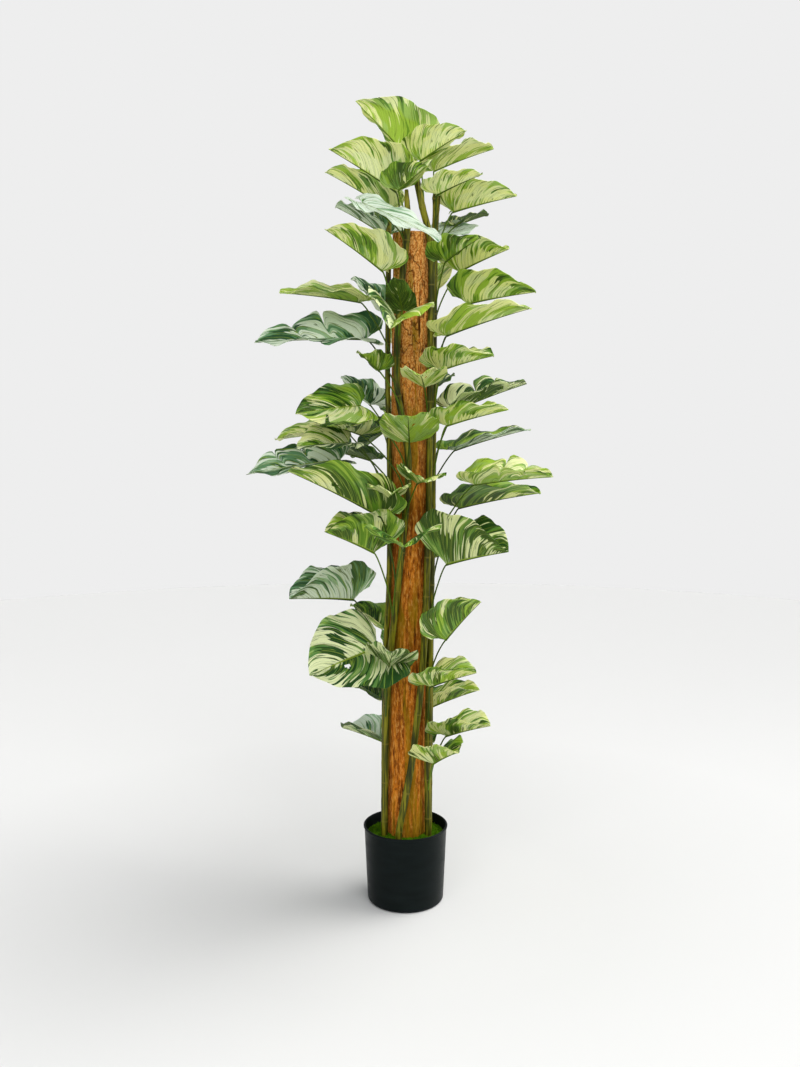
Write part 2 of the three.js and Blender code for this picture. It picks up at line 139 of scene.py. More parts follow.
# Stalks and midribs, in millimetres or as shares of a length
STALK_RADIUS = 1.7
STALK_TAPER = 0.12
STALK_END_RADIUS = 0.8
STALK_SHARES = (0, 0.35, 0.7, 1)
STALK_SUNK = 0.06
STALK_STEPS = 22
STALK_SIDES = 8
FOOT_SWELL = 1.3
FOOT_FADE = 9
KNEE_SWELL = 0.35
KNEE_PLACE = 0.8
KNEE_WIDTH = 0.07
MIDRIB_RADIUS = 1.5
MIDRIB_END_RADIUS = 0.35
MIDRIB_END = 0.97
MIDRIB_SUNK = 0.5
MIDRIB_STEPS = 18
MIDRIB_SIDES = 6

# Blades, in millimetres or as shares of a blade's length
BLADE_THICKNESS = 0.8
BLADE_ARCH = 0.015
BLADE_ROWS = 54
BLADE_COLUMNS = 19
EDGE_SAMPLES = 600
MIDRIB_MERGE = 0.004
VEIN_BEND = 1.15
FOLD_AT_RIB = 1.2
FOLD_FADE = 0.8
WAVE_HEIGHT = 0.032
WAVE_RATE = 14
WAVE_START = 0.5
WAVE_CURVE = 1.3
RUFFLE_HEIGHT = 0.007
RUFFLE_RATE = 41
RUFFLE_PHASE = 2.3
RUFFLE_CURVE = 4
QUILT_HEIGHT = 0.5
QUILT_CURVE = 0.8
QUILT_REACH = 25
LEAF_PHASE = 1.7
SIDE_PHASE = 2
LEAF_SEED = 1.37
STEM_SEED = 2.9

# The eye in the photograph, which is level and shifted, in millimetres
EYE_DISTANCE = 2277
EYE_HEIGHT = 1043
EYE_X = -12
PHOTO_HEIGHT = 1067
HORIZON_PIXEL = 420
FOCAL_PIXELS = 1040
SENSOR = 36

# Each stem: radius, way up as (height, degrees round the pole), free end points (x, y, z)
STEMS = {
    "left": (8, [(92, 204), (400, 208), (560, 226), (649, 239), (802, 257), (960, 266), (1040, 252),
                 (1110, 236), (1200, 235), (1300, 242), (1440, 258)],
             [(4, -52, 1490), (2, -50, 1536)]),
    "front": (8, [(92, 250), (160, 252), (310, 281), (452, 300), (561, 311), (800, 322),
                  (1150, 324), (1430, 318)],
              [(36, -46, 1500), (25, -38, 1556), (17, -18, 1602)]),
    "left_back": (6.5, [(92, 168), (400, 178), (560, 198), (680, 212), (850, 213), (1000, 206),
                        (1110, 192), (1380, 180)],
                  [(-38, 14, 1450), (-32, 22, 1490)]),
    "right_front": (8, [(92, 338), (300, 328), (561, 335), (800, 343), (1430, 343)],
                    [(66, -24, 1500), (64, -40, 1536)]),
    "right": (6.5, [(92, 8), (400, 6), (800, 8), (1430, 9)],
              [(68, 10, 1490), (74, 18, 1560)]),
    "back_right": (6.5, [(92, 58), (500, 50), (900, 54), (1350, 46)],
                   [(48, 40, 1440)]),
    "back_left": (6.5, [(92, 122), (900, 124), (1380, 124)],
                  [(-14, 52, 1450)]),
}

# Each look: how light the green is, the share of cream, and how blue it is. The blue share is
# painted sheen: it stands for a bluish-white reflection of the sky on the leaves.
LOOKS = {
    "lime": (0.9, 0.5, 0.0),
    "pale": (0.8, 0.68, 0.0),
    "white": (0.8, 0.9, 0.9),
    "striped": (0.6, 0.55, 0.0),
    "green": (0.45, 0.25, 0.0),
    "olive": (0.85, 0.2, 0.0),
    "deep": (0.15, 0.42, 0.2),
    "marbled": (0.1, 0.55, 0.35),
    # The dark look is partly painted shade: it is given to leaves that lie in the shade among the
    # others.
    "dark": (-0.1, 0.1, 0.1),
    "blue": (0.3, 0.55, 0.8),
}

# Each leaf: how far below its base the stalk leaves the stem, base (x, z, y) and tip (x, z, y)
# as seen in the plane of the pole, half width, fold in degrees, lean (x, y) of its upper side,
# look (or one for each half of the blade, with a stroke between them), and what is cut in it,
# if anything: "cut" for its edge, "hole" for a hole by the midrib.
Leaf = namedtuple("Leaf", "drop base tip half_width fold lean look cut", defaults=[""])
# The looks are partly painted light and shade: the upper leaves have lighter looks that also stand
# for the stronger light on the top of the plant, and leaves in the shade among the others have
# darker ones.
LEAVES = {
    "left": [
        (150, (-21, 1542, -50), (-169, 1636, -90), 0.54, 48, (0, 0.2), "pale"),
        (100, (-16, 1546, -66), (47, 1599, -150), 0.5, 44, (0, 0.1), "pale/green"),
        (90, (-95, 1518, -76), (78, 1437, -150), 0.18, 14, (0, -0.6), "white"),
        (170, (-51, 1369, -84), (-178, 1461, -140), 0.5, 44, (0, 0.1), "pale"),
        (200, (-99, 1301, -20), (-277, 1321, -60), 0.6, 18, (0, -0.2), "lime"),
        (190, (-86, 1220, -44), (-331, 1212, -50), 0.38, 24, (0, -0.5), "blue", "cut"),
        (150, (-21, 1262, -104), (-32, 1244, -260), 0.56, 46, (0.25, 0), "lime/marbled"),
        (110, (-7, 1284, -66), (-25, 1356, -150), 0.32, 18, (0, 0), "dark"),
        (130, (-58, 1150, -90), (-102, 1187, -190), 0.38, 46, (0, 0), "green"),
        (170, (-99, 1074, -50), (-242, 1056, -120), 0.43, 12, (0, -1.1), "lime/green"),
        (150, (-97, 1010, -44), (-172, 1030, -160), 0.44, 36, (0, -0.3), "striped/dark", "hole"),
        (170, (-126, 993, -64), (-239, 984, -120), 0.5, 26, (0, -0.6), "marbled/striped"),
        (190, (-56, 831, -118), (-259, 931, -134), 0.45, 42, (0, 0.3), "striped/green", "hole"),
        (130, (-38, 870, -130), (-29, 883, -250), 0.42, 34, (0, 0), "striped"),
        (170, (-69, 752, -76), (-178, 798, -130), 0.88, 58, (0, 0.1), "green/striped"),
        (200, (-7, 763, -186), (-5, 765, -350), 0.54, 36, (0, 0), "green"),
        (180, (-62, 544, -76), (-211, 483, -180), 0.64, 12, (0, -0.9), "marbled", "hole"),
        (160, (-40, 491, -104), (-29, 535, -240), 0.42, 38, (0.2, -0.3), "marbled", "hole"),
        (140, (8, 993, -98), (4, 1052, -220), 0.52, 32, (0, 0), "olive", "hole"),
        (130, (25, 903, -96), (41, 907, -225), 0.46, 36, (0.2, 0), "striped"),
    ],
    "front": [
        (120, (14, 1608, -16), (-110, 1741, -80), 0.56, 50, (0.3, 0.5), "lime"),
        (110, (32, 1610, -50), (133, 1676, -120), 0.5, 44, (0, 0.3), "pale", "hole"),
        (140, (41, 1113, -100), (32, 1142, -225), 0.46, 40, (0, 0), "pale", "hole"),
    ],
    "left_back": [
        (150, (-34, 1503, 86), (-176, 1586, 130), 0.38, 42, (0, 0.2), "striped"),
        (150, (-42, 1268, 90), (-117, 1354, 180), 0.36, 38, (0, 0), "blue"),
        (180, (-132, 1017, 40), (-285, 999, 90), 0.6, 20, (0, -0.3), "pale"),
        (170, (-143, 955, -14), (-349, 923, -34), 0.38, 24, (0, -0.5), "blue", "cut"),
        (150, (-77, 955, 90), (-204, 984, 130), 0.42, 26, (0, 0), "dark"),
        (190, (-113, 649, 0), (-255, 651, -80), 0.68, 58, (0, 0.2), "blue"),
        (130, (-49, 430, 84), (-121, 465, 190), 0.46, 36, (0, 0), "dark"),
        (120, (-47, 338, 86), (-137, 369, 180), 0.55, 42, (0, 0), "marbled/white"),
    ],
    "right_front": [
        (150, (87, 1389, -60), (161, 1441, -160), 0.46, 42, (0, 0), "dark/green"),
        (120, (69, 1536, -74), (168, 1581, -160), 0.37, 40, (0, 0.1), "striped/pale"),
        (160, (89, 1227, -84), (277, 1288, -110), 0.38, 34, (0, 0.1), "lime"),
        (140, (78, 1152, -66), (192, 1183, -170), 0.46, 42, (0, 0), "striped", "hole"),
        (150, (89, 1030, -70), (225, 1065, -140), 0.44, 40, (0, 0), "pale", "hole"),
        (190, (150, 901, -84), (323, 918, -120), 0.54, 34, (0, -0.1), "lime", "cut hole"),
        (150, (89, 726, -84), (225, 754, -170), 0.86, 62, (0, 0.2), "deep"),
        (140, (87, 561, -122), (165, 645, -124), 0.86, 52, (-0.2, 0.2), "striped/green"),
        (120, (54, 459, -80), (155, 489, -130), 0.68, 40, (-0.2, 0.1), "striped"),
        (110, (60, 290, -90), (117, 316, -190), 0.52, 44, (0, -0.1), "green/striped", "hole"),
    ],
    "right": [
        (120, (63, 1588, 54), (194, 1636, 120), 0.4, 34, (0, 0.1), "pale"),
        (150, (104, 1498, 30), (244, 1533, -40), 0.52, 42, (0, 0.2), "pale"),
        (160, (117, 1367, 56), (227, 1417, -20), 0.68, 40, (0, 0.1), "pale"),
        (190, (135, 1297, 10), (286, 1323, -50), 0.6, 42, (0, 0.1), "striped"),
        (170, (111, 1065, 14), (266, 1122, 50), 0.5, 34, (0, -0.1), "marbled", "cut"),
        (210, (117, 850, 30), (297, 883, 0), 0.56, 30, (0, 0), "green", "hole"),
        (150, (58, 415, 104), (163, 452, 56), 0.54, 40, (0, 0), "striped"),
        (150, (89, 351, -60), (185, 373, -130), 0.56, 42, (0, 0), "striped", "hole"),
    ],
    "back_right": [
        (120, (111, 1468, 66), (183, 1492, 150), 0.32, 30, (0, 0), "dark"),
        (110, (56, 1441, 58), (161, 1468, 64), 0.36, 14, (0, -0.8), "white"),
        (140, (63, 1111, 108), (100, 1139, 222), 0.31, 34, (0, 0), "dark"),
        (170, (109, 977, 60), (275, 1023, 110), 0.42, 18, (0, 0), "green/blue"),
        (150, (52, 1325, 98), (84, 1387, 244), 0.44, 46, (0, 0), "striped"),
        (150, (54, 745, 96), (91, 815, 200), 0.44, 40, (0, 0), "green"),
        (150, (10, 649, 96), (6, 699, 250), 0.44, 46, (0, 0), "marbled"),
        (140, (23, 316, 92), (41, 367, 240), 0.4, 46, (0, 0), "dark"),
    ],
    "back_left": [
        (140, (-45, 1448, 84), (-152, 1509, 170), 0.44, 36, (0, 0), "blue"),
        (150, (-77, 1076, 86), (-137, 1137, 180), 0.4, 36, (0, 0), "blue"),
        (150, (-47, 588, 84), (-117, 638, 170), 0.5, 36, (0, 0), "green"),
        (150, (12, 1196, 104), (28, 1247, 260), 0.44, 46, (0, 0), "pale"),
        (150, (-1, 1030, 100), (-5, 1080, 260), 0.44, 46, (0, 0), "striped"),
        (150, (-5, 769, 98), (-16, 820, 250), 0.44, 46, (0, 0), "marbled"),
        (140, (-1, 520, 96), (-10, 570, 250), 0.44, 46, (0, 0), "green"),
        (150, (-49, 1015, 196), (-113, 960, 270), 0.48, 30, (0, -0.8), "dark"),
    ],
}

# Half of the blade: where a side vein leaves the midrib, then where it meets the edge along
# and across, as shares of the length and of the half width. The last row is the tip.
SIDE_VEINS = [
    (0, -0.14, 0.38), (0, -0.13, 0.78), (0.07, 0.13, 1), (0.29, 0.44, 0.94),
    (0.54, 0.71, 0.66), (0.79, 0.92, 0.26), (1, 1, 0),
]
CUT_VEINS = SIDE_VEINS[:3] + [
    (0.25, 0.38, 0.95), (0.3, 0.38, 0.45), (0.36, 0.46, 0.92),
    (0.5, 0.66, 0.7), (0.55, 0.66, 0.34), (0.6, 0.72, 0.64),
] + SIDE_VEINS[-2:]
LOBE_ROWS = 2
LOBE_SPREAD = 0.3
STREAK_LEAN = 0.32
STREAK_BEND = 1.2
SIDE_VEIN_COUNT = 9
HOLE_PLACE = (0.5, 0.24)
HOLE_SIZE = (0.035, 0.085)

# The markings' bands: how fast they change along, outwards and from leaf to leaf, and how much
LEAF_BANDS = (((3.2, 1.3, 1.0), 0.6), ((12.0, 0.8, 1.0), 0.5), ((34.0, 1.2, 1.0), 0.35))
BAND_LIFT = 0.3
STREAK_WANDER = 0.1
HALF_SEED = 3.7
IVORY_SHIFT = (7.3, 3.1, 11.7)
LEAF_THROUGH = 0.32

# Floor and wall, in metres
FLOOR_RADIUS = 4.4
WALL_BEND = 2.2
WALL_STEPS = 24
WALL_TOP = 9
STAGE_SIDES = 96

# Each broad light: degrees from +X towards the back and above the floor, strength, spread, colour
SUNS = {
    "key": (10, 48, 2.2, 60, (1, 0.99, 0.96)),
    "side": (10, 18, 1.3, 50, (1, 0.99, 0.97)),
    "fill": (-110, 12, 1.2, 50, (0.97, 0.985, 1)),
}
SKY_COLOUR = (0.97, 0.985, 1, 1)
SKY_STRENGTH = 0.38
TOP_LIGHT_SIZE = 1.2
TOP_LIGHT_POWER = 24
TOP_LIGHT_PLACE = (0.5, -1.5, 2.5)
TOP_LIGHT_AIM = (0, 0, 1.45)


# Colours and material nodes

def srgb(red, green, blue):
    """A linear colour from the 0 to 255 numbers that a screen shows."""
    shares = [value / 255 for value in (red, green, blue)]
    linear = [s / 12.92 if s < 0.04045 else ((s + 0.055) / 1.055) ** 2.4 for s in shares]
    return (*linear, 1)


class Material:
    """A node material under construction, with short calls for its nodes."""

    def __init__(self, name):
        self.material = bpy.data.materials.new(name)
        self.material.use_nodes = True
        self.tree = self.material.node_tree
        self.shader = self.tree.nodes["Principled BSDF"]
        self.output = self.tree.nodes["Material Output"]

    def plug(self, socket, value):
        if isinstance(value, bpy.types.NodeSocket):
            self.tree.links.new(value, socket)
        else:
            socket.default_value = value

    def node(self, kind, inputs, output=0, **settings):
        made = self.tree.nodes.new("ShaderNode" + kind)
        for name, value in settings.items():
            setattr(made, name, value)
        for name, value in inputs.items():
            self.plug(made.inputs[name], value)
        return made.outputs[output]

    def math(self, operation, a, b=0.0):
        return self.node("Math", {0: a, 1: b}, operation=operation)

    def ramp(self, value, low, high, out_low=0.0, out_high=1.0):
        inputs = {"Value": value, "From Min": low, "From Max": high,
                  "To Min": out_low, "To Max": out_high}
        return self.node("MapRange", inputs, clamp=True)

    def mix(self, share, a, b):
        return self.node("Mix", {0: share, 6: a, 7: b}, 2, data_type="RGBA")

    def noise(self, place, scale, detail, roughness=0.55, distortion=0.0):
        """Noise of 0 to 1 over a place that is stretched by its three scales."""
        stretched = self.node("VectorMath", {0: place, 1: scale}, operation="MULTIPLY")
        inputs = {"Vector": stretched, "Scale": 1.0, "Detail": detail,
                  "Roughness": roughness, "Distortion": distortion}
        return self.node("TexNoise", inputs)

    def line(self, value, centre, inner, outer, strength=1.0):
        """How much a value is on a line at a centre, which fades between two distances."""
        distance = self.math("ABSOLUTE", self.math("SUBTRACT", value, centre))
        return self.ramp(distance, inner, outer, strength, 0.0)

    def moved(self, place, shift):
        return self.node("VectorMath", {0: place, 1: shift}, operation="ADD")

    def attribute(self, name, output="Vector"):
        return self.node("Attribute", {}, output, attribute_name=name)

    def split(self, vector):
        made = self.tree.nodes.new("ShaderNodeSeparateXYZ")
        self.tree.links.new(vector, made.inputs[0])
        return made.outputs

    def bump(self, height, distance, strength):
        inputs = {"Height": height, "Distance": distance, "Strength": strength}
        self.plug(self.shader.inputs["Normal"], self.node("Bump", inputs))

    def finish(self, colour, roughness, **sockets):
        self.plug(self.shader.inputs["Base Color"], colour)
        self.plug(self.shader.inputs["Roughness"], roughness)
        for name, value in sockets.items():
            self.shader.inputs[name.replace("_", " ")].default_value = value
        return self.material


# Materials

def leaf_material():
    """Bands and threads of green, lime and cream, which run from the midrib to the margin."""
    m = Material("variegated_leaf")
    along, across, seed = m.split(m.attribute("blade"))
    tone, cream, blue = m.split(m.attribute("look"))
    under = m.attribute("under", "Fac")
    out = m.math("ABSOLUTE", across)
    half = m.math("MULTIPLY", m.math("SIGN", across), HALF_SEED)
    place = m.node("CombineXYZ", {0: along, 1: out, 2: m.math("ADD", seed, half)})
    wander = m.math("SUBTRACT", m.noise(place, (3.0, 2.0, 1.0), 1.0), 0.5)
    wander = m.node("CombineXYZ", {0: m.math("MULTIPLY", wander, STREAK_WANDER)})
    place = m.moved(place, wander)
    other = m.moved(place, IVORY_SHIFT)

    def layered(where, amount):
        """Broad bands with narrower ones in them, lifted by an amount of 0 to 1."""
        total = m.math("MULTIPLY", m.math("SUBTRACT", amount, 0.5), BAND_LIFT)
        for scale, share in LEAF_BANDS:
            swing = m.math("SUBTRACT", m.noise(where, scale, 1.0), 0.5)
            total = m.math("ADD", total, m.math("MULTIPLY", swing, share))
        return total

    shade = layered(place, tone)
    ivory = layered(other, cream)
    # Painted sheen: the blue share, raised in random patches, turns the colours towards a cool
    # palette that stands for a bluish-white reflection of the sky.
    sheen_patches = m.ramp(m.noise(other, (2.6, 1.6, 1.0), 2.0), 0.5, 0.56, 0.0, 0.22)
    blue = m.math("MAXIMUM", blue, sheen_patches)
    green = m.ramp(shade, -0.07, -0.05)
    lime = m.ramp(shade, 0.03, 0.05)
    cream = m.ramp(ivory, 0.02, 0.035)
    colour = m.mix(blue, srgb(38, 76, 8), srgb(50, 92, 62))
    for share, warm, sheen_tint in ((green, srgb(98, 148, 30), srgb(112, 158, 122)),
                              (lime, srgb(176, 208, 72), srgb(176, 208, 180)),
                              (cream, srgb(248, 250, 180), srgb(234, 246, 238))):
        colour = m.mix(share, colour, m.mix(blue, warm, sheen_tint))

    # Threads run through the bands: dark ones where they are light, and lime ones where dark.
    threads = m.line(m.noise(other, (24.0, 0.6, 1.0), 1.0), 0.46, 0.006, 0.02, 0.8)
    light = m.math("MAXIMUM", lime, cream)
    contrast = m.mix(light, srgb(160, 190, 70), srgb(84, 112, 26))
    colour = m.mix(threads, colour, contrast)

    # Each side vein is a lime line with a dark line of painted shade beside it, in its groove, and
    # the midrib is yellow-green.
    turns = m.math("FRACT", m.math("MULTIPLY", along, SIDE_VEIN_COUNT))
    from_vein = m.math("SUBTRACT", turns, 0.5)
    fade = m.ramp(out, 0.1, 0.95, 0.8, 0.2)
    vein = m.math("MULTIPLY", m.line(from_vein, 0.0, 0.02, 0.06), fade)
    groove_shade = m.math("MULTIPLY", m.line(from_vein, 0.09, 0.015, 0.06, 0.6), fade)
    colour = m.mix(groove_shade, colour, m.mix(0.5, colour, srgb(48, 78, 16)))
    colour = m.mix(m.math("MULTIPLY", vein, 0.6), colour, srgb(190, 210, 84))
    rib = m.ramp(out, 0.015, 0.035, 1.0, 0.0)
    colour = m.mix(rib, colour, srgb(160, 184, 62))

    # The lower side is a little paler, and both sides have a fine grain.
    colour = m.mix(m.math("MULTIPLY", under, 0.1), colour, srgb(186, 206, 100))
    grain = m.noise(place, (90.0, 40.0, 1.0), 2.0)
    colour = m.mix(m.ramp(grain, 0.3, 0.7, 0.12, 0.0), colour, srgb(60, 84, 20))
    quilt = m.math("ADD", m.math("MULTIPLY", vein, -0.8), m.math("MULTIPLY", grain, 0.25))
    m.bump(quilt, 0.0012, 0.6)
    m.finish(colour, m.ramp(under, 0.0, 1.0, 0.38, 0.5), Specular_IOR_Level=0.22)
    through = m.node("BsdfTranslucent", {"Color": colour})
    mixed = m.node("MixShader", {0: LEAF_THROUGH, 1: m.shader.outputs[0], 2: through})
    m.plug(m.output.inputs["Surface"], mixed)
    return m.material


def stem_material():
    """Olive stems and darker stalks: pale and dark lines along them, and mottling."""
    m = Material("olive_stem")
    length, kind, seed = m.split(m.attribute("blade"))
    place = m.node("TexCoord", {}, "Object")
    lines = m.noise(place, (190.0, 190.0, 9.0), 3.0)
    mottle = m.noise(place, (50.0, 50.0, 11.0), 3.0)
    colour = m.mix(m.ramp(lines, 0.42, 0.58), srgb(56, 60, 4), srgb(124, 120, 20))
    colour = m.mix(m.ramp(mottle, 0.5, 0.64, 0.0, 0.85), colour, srgb(38, 42, 4))
    scar = m.line(m.math("FRACT", length), 0.5, 0.0, 0.03, 0.6)
    colour = m.mix(m.math("MULTIPLY", scar, kind), colour, srgb(124, 112, 40))
    tint = m.math("FRACT", m.math("MULTIPLY", seed, 0.61))
    stalk = m.mix(tint, srgb(44, 66, 10), srgb(96, 124, 20))
    stalk = m.mix(m.ramp(mottle, 0.35, 0.65, 0.0, 0.5), stalk, srgb(58, 76, 12))
    colour = m.mix(kind, stalk, colour)
    m.bump(lines, 0.0008, 0.5)
    return m.finish(colour, 0.55, Specular_IOR_Level=0.2)


def bark_material():
    """Orange-brown fibrous bark: upright fibres and flecks, dark cracks, and olive stains."""
    m = Material("fibrous_bark")
    place = m.node("TexCoord", {}, "Object")
    height = m.split(place)[2]
    wander = m.noise(place, (9.0, 9.0, 5.0), 2.0)
    shift = m.node("VectorMath", {0: wander, 1: (0.012, 0.012, 0.0)}, operation="MULTIPLY")
    place = m.moved(place, shift)
    broad = m.noise(place, (60.0, 60.0, 6.0), 2.0)
    fibre = m.noise(place, (210.0, 210.0, 20.0), 3.0, 0.6)
    flecks = m.noise(place, (230.0, 230.0, 74.0), 4.0, 0.7)
    crack = m.noise(place, (110.0, 110.0, 10.0), 3.0, 0.6, 0.6)
    colour = m.mix(m.ramp(broad, 0.36, 0.62), srgb(136, 70, 12), srgb(188, 108, 26))
    for pattern, *limits, tint in ((fibre, 0.5, 0.66, 0.0, 0.8, srgb(210, 136, 44)),
                                   (fibre, 0.34, 0.47, 0.8, 0.0, srgb(92, 48, 8)),
                                   (flecks, 0.53, 0.63, 0.0, 0.6, srgb(214, 156, 76)),
                                   (flecks, 0.38, 0.47, 0.7, 0.0, srgb(84, 42, 6))):
        colour = m.mix(m.ramp(pattern, *limits), colour, tint)
    grains = m.noise(place, (300.0, 300.0, 190.0), 3.0, 0.7)
    rosy = m.mix(m.ramp(grains, 0.42, 0.58), srgb(172, 92, 36), srgb(250, 192, 112))
    rosy = m.mix(0.65, colour, rosy)
    colour = m.mix(m.ramp(height, 0.85, 1.3), colour, rosy)
    stain = m.ramp(m.noise(place, (34.0, 34.0, 3.4), 3.0), 0.53, 0.61, 0.0, 0.7)
    colour = m.mix(stain, colour, srgb(132, 104, 4))
    split = m.line(m.noise(place, (34.0, 34.0, 15.0), 2.0), 0.5, 0.006, 0.016, 0.75)
    split = m.math("MULTIPLY", split, m.ramp(height, 0.9, 1.2))
    cracks = m.math("MAXIMUM", split, m.ramp(crack, 0.31, 0.36, 1.0, 0.0))
    colour = m.mix(cracks, colour, srgb(66, 34, 4))
    relief = m.math("ADD", m.math("MULTIPLY", fibre, 0.6), m.math("MULTIPLY", flecks, 0.4))
    relief = m.math("SUBTRACT", relief, m.math("MULTIPLY", cracks, 0.6))
    m.bump(relief, 0.0026, 0.8)
    return m.finish(colour, 0.9, Specular_IOR_Level=0.1)


def moss_material():
    """Moss that is painted brighter at the tips of its strands, as light falling from above, with
    painted shade in dark specks.
    """
    m = Material("green_moss")
    place = m.node("TexCoord", {}, "Object")
    tip = m.split(m.attribute("blade"))[0]
    clumps = m.noise(place, (70.0, 70.0, 70.0), 3.0)
    shaded_specks = m.noise(place, (900.0, 900.0, 900.0), 2.0)
    colour = m.mix(m.ramp(clumps, 0.35, 0.65), srgb(50, 98, 0), srgb(96, 150, 6))
    # Painted light on the strand tips, and painted shade in the dark specks.
    colour = m.mix(m.math("MULTIPLY", tip, 0.4), colour, srgb(140, 184, 24))
    colour = m.mix(m.ramp(shaded_specks, 0.35, 0.6, 0.5, 0.0), colour, srgb(26, 50, 0))
    m.bump(shaded_specks, 0.001, 0.7)
    return m.finish(colour, 0.95, Specular_IOR_Level=0.1)


def pot_material():
    """Black satin plastic with a fine moulded grain and faint scuffs."""
    m = Material("black_plastic")
    place = m.node("TexCoord", {}, "Object")
    grain = m.noise(place, (2400.0, 2400.0, 2400.0), 2.0)
    scuffs = m.noise(place, (14.0, 14.0, 60.0), 4.0, 0.6)
    colour = m.mix(m.ramp(scuffs, 0.35, 0.75), srgb(10, 13, 12), srgb(17, 22, 22))
    m.bump(grain, 0.0003, 0.3)
    return m.finish(colour, m.ramp(scuffs, 0.3, 0.7, 0.34, 0.46), Specular_IOR_Level=0.09,
                    Specular_Tint=(0.75, 1, 1, 1))


def cement_material():
    """Rough grey cement."""
    m = Material("cast_cement")
    place = m.node("TexCoord", {}, "Object")
    grit = m.noise(place, (320.0, 320.0, 320.0), 4.0)
    colour = m.mix(grit, srgb(118, 114, 108), srgb(168, 164, 156))
    m.bump(grit, 0.001, 0.6)
    return m.finish(colour, 0.95)


def floor_material():
    """A pale floor that is a little darker round the plant and far away."""
    m = Material("pale_floor")
    place = m.node("TexCoord", {}, "Object")
    away = m.node("VectorMath", {0: place}, "Value", operation="LENGTH")
    colour = m.mix(m.ramp(away, 0.45, 1.2), srgb(218, 218, 218), srgb(228, 228, 228))
    colour = m.mix(m.ramp(away, 1.4, 3.0), colour, srgb(226, 226, 226))
    return m.finish(colour, 0.9, Specular_IOR_Level=0.1)


def wall_material():
    """An even pale backdrop."""
    m = Material("pale_wall")
    glow = m.node("Emission", {"Color": srgb(238, 238, 238), "Strength": 1.0})
    m.plug(m.output.inputs["Surface"], glow)
    return m.material


# Curves

def catmull_rom(points, shares):
    """Points at shares of 0 to 1 on the centripetal Catmull-Rom curve through points."""
    points = np.array(points, float)
    ends = [2 * points[0] - points[1], *points, 2 * points[-1] - points[-2]]
    made = []
    for share in shares:
        reach = share * (len(points) - 1)
        i = min(int(reach), len(points) - 2)
        t = reach - i
        p0, p1, p2, p3 = ends[i:i + 4]
        d0, d1, d2 = (np.linalg.norm(b - a) ** 0.5 for a, b in ((p0, p1), (p1, p2), (p2, p3)))
        leave = ((p1 - p0) / d0 - (p2 - p0) / (d0 + d1) + (p2 - p1) / d1) * d1
        arrive = ((p2 - p1) / d1 - (p3 - p1) / (d1 + d2) + (p3 - p2) / d2) * d1
        c2 = 3 * (p2 - p1) - 2 * leave - arrive
        c3 = 2 * (p1 - p2) + leave + arrive
        made.append(p1 + leave * t + c2 * t ** 2 + c3 * t ** 3)
    return np.array(made)


def pole_axis(height):
    """The x of the pole's middle line, which leans to the right."""
    share = (height - POLE_FOOT) / (POLE_TOP - POLE_FOOT)
    return POLE_FOOT_X + (POLE_TOP_X - POLE_FOOT_X) * share


def stem_path(radius, way, end):
    """The middle line of a stem, in fine steps."""
    reach = POLE_RADIUS + POLE_RELIEF + radius + STEM_CLEAR
    points = []
    for i, (z, degrees) in enumerate(way):
        next_z, next_degrees = way[min(i + 1, len(way) - 1)]
        parts = max(1, math.ceil(abs(next_degrees - degrees) / STEM_TURN))
        for k in range(parts):
            height = z + (next_z - z) * k / parts
            angle = math.radians(degrees + (next_degrees - degrees) * k / parts)
            x = pole_axis(height) + reach * math.cos(angle)
            points.append((x, reach * math.sin(angle), height))
    return catmull_rom(points + list(end), np.linspace(0, 1, STEM_STEPS))


def at_height(path, height):
    """The point of a path at a height."""
    return np.array([np.interp(height, path[:, 2], path[:, k]) for k in range(3)])


def unit(vector):
    return vector / np.linalg.norm(vector)


# Meshes

def add_object(name, data):
    made = bpy.data.objects.new(name, data)
    bpy.context.collection.objects.link(made)
    return made


class Shape:
    """Points, faces and attributes gathered for one piece, in millimetres.

    The attribute blade is (streak, way across, seed) on a blade, (joints passed, 1, 0) on a stem,
    (0, 0, seed) on a stalk or midrib, and (way to the tip, 0, 0) on a strand of moss. The
    attribute look is one of LOOKS, and under is 1 on the lower side of a blade.
    """

    def __init__(self):
        self.points, self.faces, self.slots = [], [], []
        self.blade, self.look, self.under = [], [], []
        self.count = 0

    def add(self, points, faces, slot=0, blade=(0, 0, 0), look=(0, 0, 0), under=0):
        size = len(points)
        self.points.append(np.asarray(points, float))
        self.blade.append(np.broadcast_to(blade, (size, 3)))
        self.look.append(np.broadcast_to(look, (size, 3)))
        self.under.append(np.broadcast_to(under, size))
        self.faces += [[i + self.count for i in face] for face in faces]
        self.slots += [slot] * len(faces)
        self.count += size

    def piece(self, name, materials, slot, nodes, sharp=50):
        """Makes the Blender object, which rides on the root and stands for its nodes."""
        points = np.clip(np.concatenate(self.points) * MM, CAD_LOW, CAD_HIGH)
        mesh = bpy.data.meshes.new(name)
        mesh.from_pydata(points.tolist(), [], self.faces)
        for key, kind, values in (("blade", "FLOAT_VECTOR", self.blade),
                                  ("look", "FLOAT_VECTOR", self.look),
                                  ("under", "FLOAT", self.under)):
            layer = mesh.attributes.new(key, kind, "POINT")
            field = "vector" if kind == "FLOAT_VECTOR" else "value"
            layer.data.foreach_set(field, np.concatenate(values).astype(np.float32).ravel())
        for material in materials:
            mesh.materials.append(material)
        mesh.polygons.foreach_set("material_index", self.slots)
        mesh.shade_smooth()
        mesh.set_sharp_from_angle(angle=math.radians(sharp))
        mesh.update()
        made = add_object(name, mesh)
        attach(made, "root")
        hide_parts(*nodes)


def ring(radius, height, sides):
    """Points of a level circle round the upright line through the origin."""
    angles = [2 * math.pi * k / sides for k in range(sides)]
    return [(radius * math.cos(angle), radius * math.sin(angle), height) for angle in angles]


